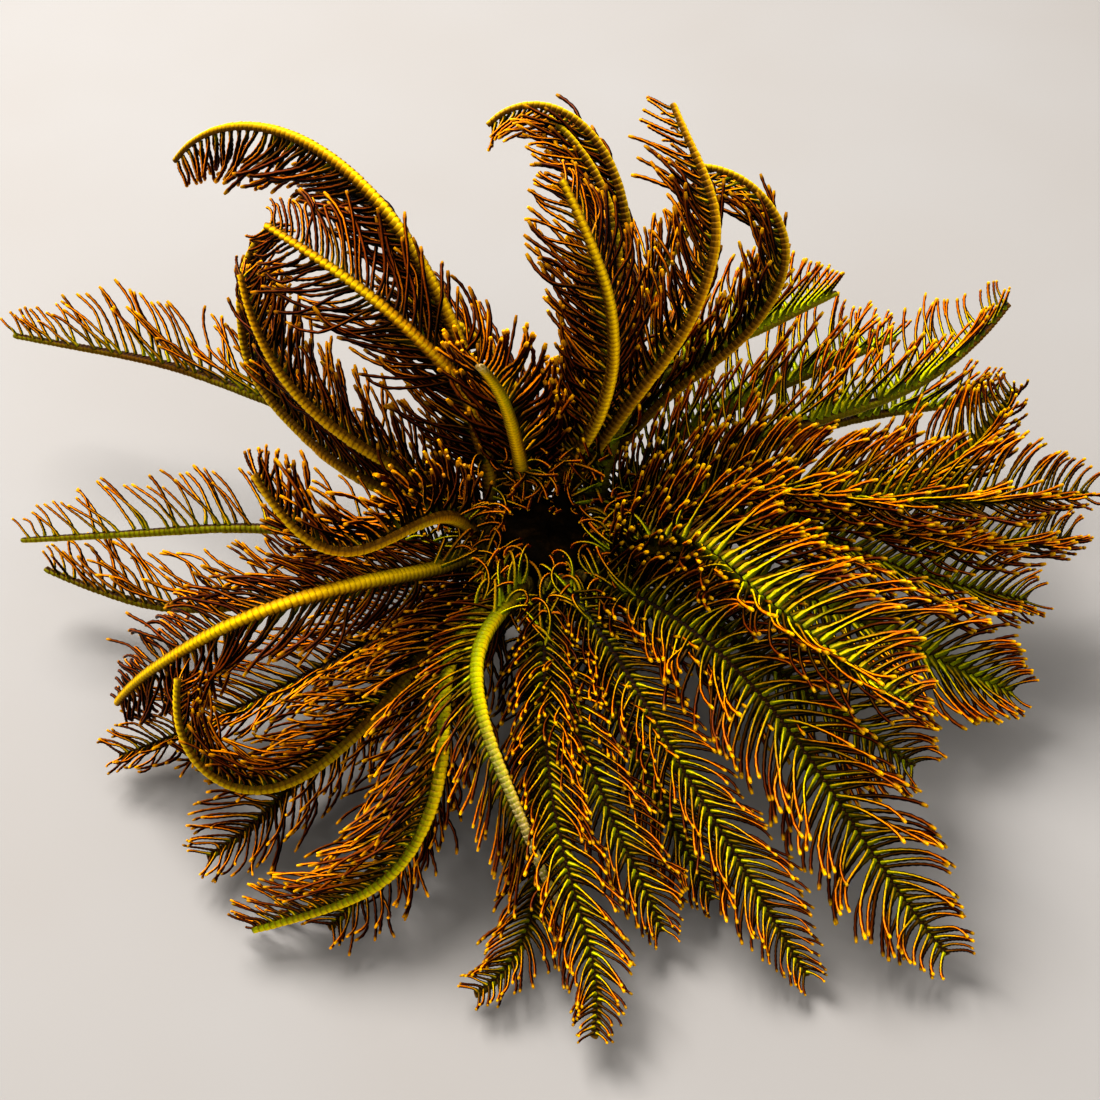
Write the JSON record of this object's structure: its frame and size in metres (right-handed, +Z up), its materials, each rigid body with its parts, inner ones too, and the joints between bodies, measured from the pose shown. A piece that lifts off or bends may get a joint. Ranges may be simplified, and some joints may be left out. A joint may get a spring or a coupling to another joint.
{
  "type": "golden feather star",
  "caption": "Life-size still crinoid: many golden arms fringed with dark pinnules rise, arch and spread from a small cup that stands on hooked cirri.",
  "frame": {"origin": "on the sand, under the middle of the whole object's box", "axes": "+X to the picture's right, +Y away from the camera, +Z up out of the sand"},
  "size_m": [0.1784, 0.1276, 0.0856],
  "materials": {
    "centrodorsal_skin": "satin, jointed",
    "cup_skin": "satin",
    "disc_skin": "soft, slightly wet",
    "ray_skin": "satin, ribbed",
    "arm_skin_1": "satin, finely ribbed, gold",
    "arm_skin_2": "satin, finely ribbed, yellow olive",
    "arm_skin_3": "satin, finely ribbed, olive green",
    "arm_skin_4": "satin, finely ribbed, bright gold",
    "arm_skin_5": "satin, finely ribbed, brown gold"
  },
  "bodies": {
    "root": {"centrodorsal": "centrodorsal_skin", "calyx": "cup_skin", "tegmen": "disc_skin", "ray_1": "ray_skin", "ray_2": "ray_skin", "ray_3": "ray_skin", "ray_4": "ray_skin", "ray_5": "ray_skin", "arm_01": "arm_skin_1", "arm_02": "arm_skin_2", "arm_03": "arm_skin_3", "arm_04_inner": "arm_skin_4", "arm_04_outer": "arm_skin_4", "arm_05": "arm_skin_5", "arm_06": "arm_skin_1", "arm_07": "arm_skin_2", "arm_08": "arm_skin_3", "arm_09_inner": "arm_skin_4", "arm_09_outer": "arm_skin_4", "arm_10": "arm_skin_5", "arm_11_inner": "arm_skin_1", "arm_11_outer": "arm_skin_1", "arm_12_inner": "arm_skin_2", "arm_12_outer": "arm_skin_2", "arm_13": "arm_skin_3", "arm_14_inner": "arm_skin_4", "arm_14_outer": "arm_skin_4", "arm_15": "arm_skin_5", "arm_16": "arm_skin_1", "arm_17_inner": "arm_skin_2", "arm_17_outer": "arm_skin_2", "arm_18_inner": "arm_skin_3", "arm_18_outer": "arm_skin_3", "arm_19_inner": "arm_skin_4", "arm_19_outer": "arm_skin_4", "arm_20": "arm_skin_5", "arm_21_inner": "arm_skin_1", "arm_21_outer": "arm_skin_1", "arm_22": "arm_skin_2", "arm_23_inner": "arm_skin_3", "arm_23_outer": "arm_skin_3", "arm_24": "arm_skin_4", "arm_25_inner": "arm_skin_5", "arm_25_outer": "arm_skin_5", "arm_26": "arm_skin_1", "arm_27_inner": "arm_skin_2", "arm_27_outer": "arm_skin_2", "arm_28": "arm_skin_3", "arm_29": "arm_skin_4", "arm_30": "arm_skin_5", "arm_31": "arm_skin_1", "arm_32": "arm_skin_2", "arm_33": "arm_skin_3", "arm_34": "arm_skin_4", "arm_35": "arm_skin_5", "arm_36": "arm_skin_1", "arm_37": "arm_skin_2", "arm_38": "arm_skin_3", "arm_39": "arm_skin_4", "arm_40": "arm_skin_5"}
  },
  "joints": []
}
